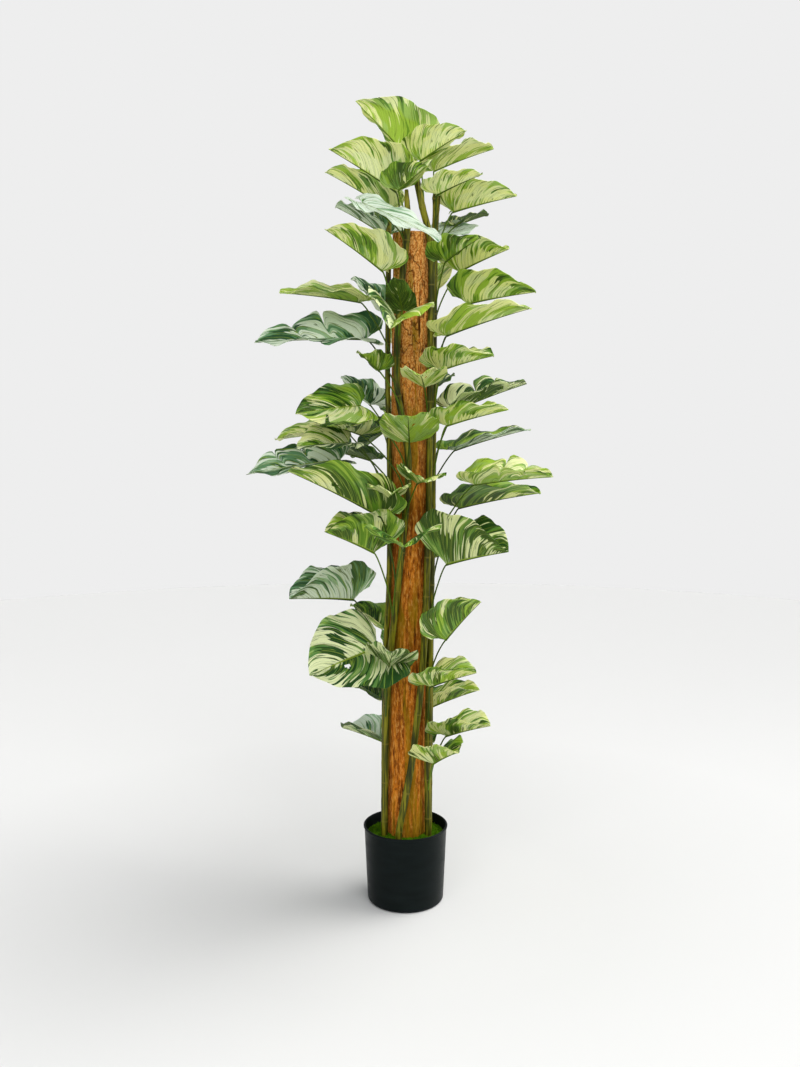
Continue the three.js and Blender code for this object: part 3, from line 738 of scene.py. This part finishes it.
def ring_faces(rings, sides):
    """Faces between the points of rings that follow one another."""
    faces = []
    for i in range(rings - 1):
        for k in range(sides):
            n = (k + 1) % sides
            a, b = i * sides, (i + 1) * sides
            faces.append((a + k, a + n, b + n, b + k))
    return faces


def arc(turn, steps):
    """Angles from 0 to a turn in even steps."""
    return [turn * i / steps for i in range(steps + 1)]


def tube(path, radii, sides, swell=None):
    """Points and faces of a closed tube along a path. Its sides may swell by shares."""
    path = np.asarray(path, float)
    swell = swell or [0] * sides
    steps = np.gradient(path, axis=0)
    tangents = steps / np.linalg.norm(steps, axis=1)[:, None]
    start = np.array([1.0, 0, 0]) if abs(tangents[0][0]) < 0.8 else np.array([0, 1.0, 0])
    side = unit(np.cross(tangents[0], start))
    points = []
    for centre, tangent, radius in zip(path, tangents, radii):
        side = unit(side - tangent * side.dot(tangent))
        up = np.cross(tangent, side)
        for k in range(sides):
            angle = 2 * math.pi * k / sides
            grown = radius * (1 + swell[k])
            points.append(centre + grown * (math.cos(angle) * side + math.sin(angle) * up))
    last = (len(path) - 1) * sides
    ends = [tuple(range(sides))[::-1], tuple(range(last, last + sides))]
    return points, ring_faces(len(path), sides) + ends


def turned(profile, sides):
    """Points and faces of a closed turned solid from a profile of (radius, height)."""
    points, faces, rings = [], [], []
    for radius, height in profile:
        first = len(points)
        if radius == 0:
            rings.append([first] * sides)
            points.append((0, 0, height))
        else:
            rings.append(range(first, first + sides))
            points += ring(radius, height, sides)
    for lower, upper in zip(rings, rings[1:]):
        for k in range(sides):
            n = (k + 1) % sides
            corners = (lower[k], lower[n], upper[n], upper[k])
            faces.append(tuple(dict.fromkeys(corners)))
    return points, faces


# Blades

def seen(place):
    """A point seen at x, z in the plane of the pole that lies at depth y."""
    x, z, y = place
    share = (EYE_DISTANCE + y) / EYE_DISTANCE
    return np.array([x * share, y, EYE_HEIGHT + (z - EYE_HEIGHT) * share])


def leaf_frame(leaf):
    """Base, length, and the unit vectors along, across and up of a leaf."""
    root = seen(leaf.base)
    along = seen(leaf.tip) - root
    length = np.linalg.norm(along)
    along = along / length
    up = np.array([*leaf.lean, 1.0])
    up = unit(up - along * up.dot(along))
    return root, length, along, np.cross(up, along), up


def vein_at(table, rows):
    """Start, along and across of the veins at fractional rows, smooth between the table's."""
    table = np.array(table, float)
    padded = np.vstack([2 * table[0] - table[1], table, 2 * table[-1] - table[-2]])
    i = np.minimum(rows.astype(int), len(table) - 2)
    t = (rows - i)[:, None]
    p0, p1, p2, p3 = (padded[i + k] for k in range(4))
    m1, m2 = (p2 - p0) / 2, (p3 - p1) / 2
    smooth = (p1 * (1 + 2 * t) * (1 - t) ** 2 + m1 * t * (1 - t) ** 2
              + p2 * t ** 2 * (3 - 2 * t) - m2 * t ** 2 * (1 - t))
    smooth[:, 0] = np.where(rows <= 1, 0, np.clip(smooth[:, 0], 0, 1))
    smooth[:, 2] = np.clip(smooth[:, 2], 0, 1)
    return smooth


def even_rows(table, half_width, count):
    """Fractional rows that lie at even steps along the blade's edge."""
    dense = np.linspace(0, len(table) - 1, EDGE_SAMPLES)
    vein = vein_at(table, dense)
    edge = np.stack([vein[:, 1], vein[:, 2] * half_width], 1)
    steps = np.linalg.norm(np.diff(edge, axis=0), axis=1)
    length = np.concatenate([[0], np.cumsum(steps)])
    return np.interp(np.linspace(0, length[-1], count), length, dense)


def blade_points(placed, leaf, rows, shares, table, side, phase):
    """Points of the blade's middle surface at fractional rows and shares of the way out."""
    root, length, along, across, up = placed
    start, edge_along, edge_across = vein_at(table, rows).T
    slope = 4 * BLADE_ARCH * (1 - 2 * start)
    size = np.sqrt(1 + slope ** 2)
    tangent_x, tangent_z = 1 / size, slope / size
    forward = (edge_along - start) * shares ** VEIN_BEND * length
    reach = edge_across * leaf.half_width * length
    fold = math.radians(leaf.fold)
    turn = fold * (FOLD_AT_RIB - FOLD_FADE * shares)
    level = reach * (math.sin(FOLD_AT_RIB * fold) - np.sin(turn)) / (FOLD_FADE * fold)
    rise = reach * (np.cos(turn) - math.cos(FOLD_AT_RIB * fold)) / (FOLD_FADE * fold)
    outer = np.clip((shares - WAVE_START) / (1 - WAVE_START), 0, 1)
    rise += WAVE_HEIGHT * length * np.sin(phase + WAVE_RATE * edge_along) * outer ** WAVE_CURVE
    ruffle = np.sin(RUFFLE_PHASE * phase + RUFFLE_RATE * edge_along)
    rise += RUFFLE_HEIGHT * length * ruffle * shares ** RUFFLE_CURVE
    turns = colour_place(rows, start, shares) * SIDE_VEIN_COUNT
    quilt = QUILT_HEIGHT * np.cos(2 * math.pi * turns) * np.sin(math.pi * shares ** QUILT_CURVE)
    rise += quilt * np.clip(reach / QUILT_REACH, 0, 1)
    x = start * length + forward * tangent_x - rise * tangent_z
    z = 4 * BLADE_ARCH * start * (1 - start) * length + forward * tangent_z + rise * tangent_x
    return root + x[:, None] * along + (side * level)[:, None] * across + z[:, None] * up


def colour_place(rows, start, shares):
    """Which streak a point is on: they fan round the lobes, and lean towards the tip."""
    fan = LOBE_SPREAD * np.clip(rows / LOBE_ROWS, 0, 1)
    return start + fan - STREAK_LEAN * shares ** STREAK_BEND


def blade(shape, leaf, phase, seed):
    """A folded, waved blade with its thickness, its midrib, and what is cut in it."""
    placed = leaf_frame(leaf)
    table = CUT_VEINS if "cut" in leaf.cut else SIDE_VEINS
    rows = even_rows(table, leaf.half_width, BLADE_ROWS)
    shares = np.linspace(0, 1, BLADE_COLUMNS)
    places = [(0.0, 0.0, 1)]
    midrib, faces = [], []
    for row, start in zip(rows[:-1], vein_at(table, rows)[:, 0]):
        if start < MIDRIB_MERGE:
            midrib.append(0)
        else:
            midrib.append(len(places))
            places.append((row, 0, 1))
    tip = len(places)
    places.append((rows[-1], 0, 1))
    for side in (1, -1):
        grid = []
        for row, rib in zip(rows, midrib):
            first = len(places)
            grid.append([rib, *range(first, first + BLADE_COLUMNS - 1)])
            places += [(row, share, side) for share in shares[1:]]
        grid.append([tip] * BLADE_COLUMNS)
        holed = "hole" in leaf.cut and side == 1
        open_cells = hole_cells(grid, places, table) if holed else set()
        for i in range(len(grid) - 1):
            for k in range(BLADE_COLUMNS - 1):
                corners = (grid[i][k], grid[i + 1][k], grid[i + 1][k + 1], grid[i][k + 1])
                corners = tuple(dict.fromkeys(corners))
                if len(corners) > 2 and (i, k) not in open_cells:
                    faces.append(corners if side > 0 else corners[::-1])
    at_row, at_share, at_side = np.array(places).T
    shift = np.where(at_side > 0, phase, phase + SIDE_PHASE)
    sheet = blade_points(placed, leaf, at_row, at_share, table, at_side, shift)
    thicken(shape, sheet, faces, leaf, at_row, at_share * at_side, table, seed)
    add_midrib(shape, placed, seed)


def hole_cells(grid, places, table):
    """The cells (row, column) of half a blade that lie in an oval hole by the midrib."""
    rows, shares, _ = np.array(places).T
    points = np.stack([vein_at(table, rows)[:, 0], shares], 1)[np.array(grid)]
    middles = (points[:-1, :-1] + points[:-1, 1:] + points[1:, :-1] + points[1:, 1:]) / 4
    inside = np.linalg.norm((middles - HOLE_PLACE) / HOLE_SIZE, axis=2) < 1
    return {tuple(cell) for cell in np.argwhere(inside)}


def thicken(shape, sheet, faces, leaf, rows, across, table, seed):
    """Adds the sheet's two faces and the wall round its rim and holes."""
    normals = np.zeros_like(sheet)
    for face in faces:
        corners = sheet[list(face)]
        normal = np.cross(corners[1] - corners[0], corners[-1] - corners[0])
        normal += np.cross(corners[-1] - corners[-2], corners[1] - corners[-2])
        normals[list(face)] += normal
    # A point inside a hole has no face, and so no normal.
    lengths = np.linalg.norm(normals, axis=1)
    normals /= np.where(lengths == 0, 1, lengths)[:, None]
    count = len(sheet)
    edges = dict.fromkeys(edge for face in faces for edge in zip(face, face[1:] + face[:1]))
    walls = [(b, a, count + a, count + b) for a, b in edges if (b, a) not in edges]
    half = normals * BLADE_THICKNESS / 2
    points = np.concatenate([sheet + half, sheet - half])
    lower = [tuple(count + i for i in face[::-1]) for face in faces]
    place = colour_place(rows, vein_at(table, rows)[:, 0], np.abs(across))
    blade_of = np.stack([place, across, np.full(count, seed)], 1)
    first, _, second = leaf.look.partition("/")
    look = np.where(across[:, None] < 0, LOOKS[second or first], LOOKS[first])
    shape.add(points, faces + lower + walls, 0, np.tile(blade_of, (2, 1)), np.tile(look, (2, 1)),
              np.repeat([0, 1], count))


def add_midrib(shape, placed, seed):
    """The raised midrib under the blade, which thins out towards the tip."""
    root, length, along, _, up = placed
    starts = np.linspace(0, MIDRIB_END, MIDRIB_STEPS)
    heights = 4 * BLADE_ARCH * starts * (1 - starts) * length
    radii = MIDRIB_RADIUS * (1 - starts) + MIDRIB_END_RADIUS
    path = root + np.outer(starts * length, along) + np.outer(heights - MIDRIB_SUNK * radii, up)
    shape.add(*tube(path, radii, MIDRIB_SIDES), 1, (0, 0, seed))


def stalk(shape, leaf, path, seed):
    """The stalk, from the stem to the blade, a little thicker at its foot and its knee."""
    root, length, along, _, up = leaf_frame(leaf)
    foot = at_height(path, root[2] - leaf.drop)
    way = root - foot
    knots = [foot + way * (t * t, t * t, t) for t in STALK_SHARES]
    sunk = STALK_SUNK * length
    knots.append(root + along * sunk + up * 4 * BLADE_ARCH * sunk - up)
    shares = np.linspace(0, 1, STALK_STEPS)
    swell = np.exp(-shares * FOOT_FADE) * FOOT_SWELL
    swell += np.exp(-((shares - KNEE_PLACE) / KNEE_WIDTH) ** 2) * KNEE_SWELL
    radii = STALK_RADIUS * (1 - STALK_TAPER * shares) + swell
    radii[-1] = STALK_END_RADIUS
    shape.add(*tube(catmull_rom(knots, shares), radii, STALK_SIDES), 0, (0, 0, seed))


def stem(shape, name):
    """The stem itself, with its joints and shallow grooves. Returns its middle line."""
    radius, way, end = STEMS[name]
    path = stem_path(radius, way, end)
    shares = np.linspace(0, 1, len(path))
    steps = np.linalg.norm(np.diff(path, axis=0), axis=1)
    run = np.concatenate([[0], np.cumsum(steps)])
    joints = run / JOINT_SPACING + JOINT_SHIFT * len(name)
    nearness = np.abs(joints % 1 - 0.5)
    radii = radius * (STEM_WAIST + JOINT_SWELL * np.exp(-(nearness / JOINT_WIDTH) ** 2))
    taper = 1 - TAPER_LOSS * (shares - TAPER_START) / TAPER_LENGTH
    radii *= np.where(shares > TAPER_START, taper, 1)
    grooves = [GROOVE_DEPTH * math.sin(GROOVES * 2 * math.pi * k / STEM_SIDES) - GROOVE_SINK
               for k in range(STEM_SIDES)]
    blade_of = np.repeat([(joint, 1, 0) for joint in joints], STEM_SIDES, axis=0)
    shape.add(*tube(path, radii, STEM_SIDES, grooves), 0, blade_of)
    return path


def leafy_stem(name, leaf_look, stem_look):
    """The stem with its stalks, and the blades, as two pieces that stand for one node."""
    wood, blades = Shape(), Shape()
    path = stem(wood, name)
    for i, values in enumerate(LEAVES[name]):
        leaf = Leaf(*values)
        seed = LEAF_SEED * i + STEM_SEED * len(name)
        stalk(wood, leaf, path, seed)
        blade(blades, leaf, LEAF_PHASE * i + len(name), seed)
    node = "leafy_stem_" + name
    wood.piece("stem_" + name, [stem_look], "foliage", [node])
    blades.piece("leaves_" + name, [leaf_look, stem_look], "foliage", [node])


# Pole, moss and pot

def bark_relief(x, y, z):
    """How far the bark stands out of the pole in a direction (x, y) and at a height."""
    ridge, plate, fibre = (Vector((x * close, y * close, z / tall + shift))
                           for close, tall, shift in BARK_PLACES)
    relief = (RIDGE_DEPTH * noise.fractal(ridge, *RIDGE_NOISE)
              + PLATE_DEPTH * noise.noise(plate) + FIBRE_DEPTH * noise.noise(fibre) - BARK_SINK)
    return max(BARK_LOWEST, min(relief, BARK_HIGHEST))


def bark_pole(look):
    """The pole: its bark has long upright ridges and cracks."""
    points = []
    for i in range(BARK_RINGS):
        z = POLE_FOOT + (POLE_TOP - POLE_FOOT) * i / (BARK_RINGS - 1)
        for x, y, _ in ring(1, 0, BARK_SIDES):
            radius = POLE_RADIUS + bark_relief(x, y, z)
            points.append((pole_axis(z) + radius * x, radius * y, z))
    faces = ring_faces(BARK_RINGS, BARK_SIDES)
    for i, z in ((0, POLE_FOOT), (BARK_RINGS - 1, POLE_TOP)):
        centre = len(points)
        points.append((pole_axis(z), 0, z))
        for k in range(BARK_SIDES):
            pair = (i * BARK_SIDES + k, i * BARK_SIDES + (k + 1) % BARK_SIDES)
            faces.append((*(pair if i else pair[::-1]), centre))
    shape = Shape()
    shape.add(points, faces)
    shape.piece("bark_covered_pole", [look], "bark", ["bark_pole"])


def moss_height(x, y):
    """The top of the moss: a mound towards the pole, with cushions on it."""
    radius = math.hypot(x, y)
    share = min(max((MOSS_RADIUS - radius) / (MOSS_RADIUS - POLE_RADIUS), 0), 1)
    place = Vector((x / CUSHION_SIZE, y / CUSHION_SIZE, CUSHION_SHIFT))
    cushion = noise.fractal(place, *CUSHION_NOISE)
    return (MOSS_TOP - STRAND_ROOM + MOSS_MOUND * share ** MOUND_CURVE
            + CUSHION_HEIGHT * cushion)


def moss_mat(look):
    """Moss: a cushioned mat with short curled strands all over it."""
    rng = np.random.default_rng(STRAND_SEED)
    points = [(0, 0, MOSS_LOW)]
    radii = [MOSS_RADIUS * i / (MOSS_RINGS - 1) for i in range(1, MOSS_RINGS)]
    for radius in radii:
        points += [(x, y, moss_height(x, y)) for x, y, _ in ring(radius, 0, MOSS_SIDES)]
    centre = len(points)
    points.append((0, 0, moss_height(0, 0)))
    rim = len(points)
    points += ring(MOSS_RADIUS, MOSS_LOW, MOSS_SIDES)
    last = 1 + (len(radii) - 1) * MOSS_SIDES
    faces = []
    for k in range(MOSS_SIDES):
        n = (k + 1) % MOSS_SIDES
        faces.append((centre, 1 + k, 1 + n))
        for a in range(1, last, MOSS_SIDES):
            b = a + MOSS_SIDES
            faces.append((a + k, b + k, b + n, a + n))
        faces.append((last + k, rim + k, rim + n, last + n))
        faces.append((rim + k, 0, rim + n))
    shape = Shape()
    shape.add(points, faces)
    for _ in range(STRAND_COUNT):
        radius = math.sqrt(rng.uniform(*STRAND_AREA)) * (MOSS_RADIUS - STRAND_EDGE)
        angle = rng.uniform(0, 2 * math.pi)
        x, y = radius * math.cos(angle), radius * math.sin(angle)
        strand(shape, rng, x, y, moss_height(x, y) - STRAND_SUNK)
    shape.piece("moss_mat", [look], "moss", ["moss"])


def strand(shape, rng, x, y, z):
    """One curled strand of moss, with three sides and two lengths."""
    turn = rng.uniform(0, 2 * math.pi)
    lean = rng.uniform(*STRAND_LEAN)
    height = rng.uniform(*STRAND_HEIGHT)
    width = rng.uniform(*STRAND_WIDTH)
    way = np.array([math.cos(turn), math.sin(turn), 0])
    foot = np.array([x, y, z])
    middle = foot + way * lean * MIDDLE_LEAN + [0, 0, height * MIDDLE_HEIGHT]
    top = foot + way * lean + [0, 0, height]
    points = []
    for centre, size in ((foot, width), (middle, width * MIDDLE_WIDTH)):
        for k in range(3):
            angle = turn + 2 * math.pi * k / 3
            points.append(centre + size * np.array([math.cos(angle), math.sin(angle), 0]))
    points.append(top)
    faces = [(2, 1, 0)]
    for k in range(3):
        n = (k + 1) % 3
        faces.append((k, n, 3 + n, 3 + k))
        faces.append((3 + k, 3 + n, 6))
    tips = [(0, 0, 0)] * 3 + [(0.5, 0, 0)] * 3 + [(1, 0, 0)]
    shape.add(points, faces, 0, tips)


def pot_radius(height):
    return POT_FOOT_RADIUS + (POT_RIM_RADIUS - POT_FOOT_RADIUS) * height / POT_HEIGHT


def black_pot(look):
    """The pot: a tapered cup with a rounded foot and a rolled lip."""
    profile = [(0, POT_HOLLOW), (POT_HOLLOW_RADIUS, POT_HOLLOW), (POT_STAND_RADIUS, 0)]
    for angle in arc(QUARTER, 8):
        radius = pot_radius(POT_FOOT_ROUND) - POT_FOOT_ROUND * (1 - math.sin(angle))
        profile.append((radius, POT_FOOT_ROUND * (1 - math.cos(angle))))
    lip_foot = POT_HEIGHT - POT_LIP_HEIGHT
    for share in (0.25, 0.5, 0.75):
        height = POT_FOOT_ROUND + (lip_foot - POT_FOOT_ROUND) * share
        profile.append((pot_radius(height), height))
    lip_radius = pot_radius(lip_foot)
    profile.append((lip_radius - POT_NOTCH_DEPTH, lip_foot - POT_NOTCH_HEIGHT))
    profile.append((lip_radius, lip_foot))
    for angle in arc(QUARTER, 6):
        profile.append((lip_radius + POT_LIP * math.sin(angle),
                        lip_foot + POT_LIP_ROUND - POT_LIP_ROUND * math.cos(angle)))
    middle = pot_radius(POT_HEIGHT) - (POT_WALL - POT_LIP) / 2
    half = (POT_WALL + POT_LIP) / 2
    for angle in arc(math.pi, 10):
        profile.append((middle + half * math.cos(angle),
                        POT_HEIGHT - POT_RIM_ROUND + POT_RIM_ROUND * math.sin(angle)))
    inside = pot_radius(POT_FLOOR) - POT_WALL
    profile += [(inside, POT_FLOOR + POT_CORNER), (inside - POT_CORNER, POT_FLOOR), (0, POT_FLOOR)]
    shape = Shape()
    shape.add(*turned(profile, POT_SIDES))
    shape.piece("black_pot", [look], "pot_plastic", ["pot"], POT_SHARP_ANGLE)


# Stage, light and camera

def stage(floor_look, wall_look):
    """A pale floor that sweeps up into a wall all round. Only the camera sees the wall."""
    floor = [(0, 0), (FLOOR_RADIUS, 0)]
    wall = [(FLOOR_RADIUS + WALL_BEND * math.sin(angle), WALL_BEND * (1 - math.cos(angle)))
            for angle in arc(QUARTER, WALL_STEPS)]
    wall.append((FLOOR_RADIUS + WALL_BEND, WALL_TOP))
    for name, profile, look in (("floor", floor, floor_look), ("wall", wall, wall_look)):
        points, faces = turned(profile, STAGE_SIDES)
        mesh = bpy.data.meshes.new(name)
        mesh.from_pydata(points, [], faces)
        mesh.materials.append(look)
        mesh.shade_smooth()
        made = add_object(name, mesh)
        if name == "wall":
            for rays in ("diffuse", "glossy", "transmission", "shadow"):
                setattr(made, "visible_" + rays, False)


def broad_light(name, azimuth, elevation, strength, spread, colour):
    """An even light from far away, at degrees from +X towards the back and above the floor."""
    light = bpy.data.lights.new(name, "SUN")
    light.energy = strength
    light.angle = math.radians(spread)
    light.color = colour
    turn, rise = math.radians(azimuth), math.radians(elevation)
    way = Vector((math.cos(rise) * math.cos(turn), math.cos(rise) * math.sin(turn), math.sin(rise)))
    add_object(name, light).rotation_euler = way.to_track_quat("Z", "Y").to_euler()


def lights():
    """An even sky, three broad lights, and a soft one near the top for the upper leaves."""
    world = bpy.data.worlds.new("studio")
    bpy.context.scene.world = world
    world.use_nodes = True
    sky = world.node_tree.nodes["Background"]
    sky.inputs["Color"].default_value = SKY_COLOUR
    sky.inputs["Strength"].default_value = SKY_STRENGTH
    for name, settings in SUNS.items():
        broad_light(name, *settings)
    light = bpy.data.lights.new("top", "AREA")
    light.shape = "SQUARE"
    light.size = TOP_LIGHT_SIZE
    light.energy = TOP_LIGHT_POWER
    made = add_object("top", light)
    made.location = TOP_LIGHT_PLACE
    way = Vector(TOP_LIGHT_AIM) - made.location
    made.rotation_euler = way.to_track_quat("-Z", "Y").to_euler()


def camera():
    """The camera stands where the photograph's eye stood, and looks level."""
    data = bpy.data.cameras.new("photo_camera")
    data.sensor_width = SENSOR
    data.lens = FOCAL_PIXELS / PHOTO_HEIGHT * SENSOR
    data.shift_y = (HORIZON_PIXEL - PHOTO_HEIGHT / 2) / PHOTO_HEIGHT
    made = add_object("photo_camera", data)
    made.location = (EYE_X * MM, -EYE_DISTANCE * MM, EYE_HEIGHT * MM)
    made.rotation_euler = (math.radians(90), 0, 0)
    bpy.context.scene.camera = made


bpy.context.scene.view_settings.view_transform = "Standard"
camera()
lights()
stage(floor_material(), wall_material())
leaf_look, stem_look = leaf_material(), stem_material()
for stem_name in STEMS:
    leafy_stem(stem_name, leaf_look, stem_look)
bark_pole(bark_material())
moss_mat(moss_material())
black_pot(pot_material())
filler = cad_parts["filler"]
filler.data.materials.clear()
filler.data.materials.append(cement_material())
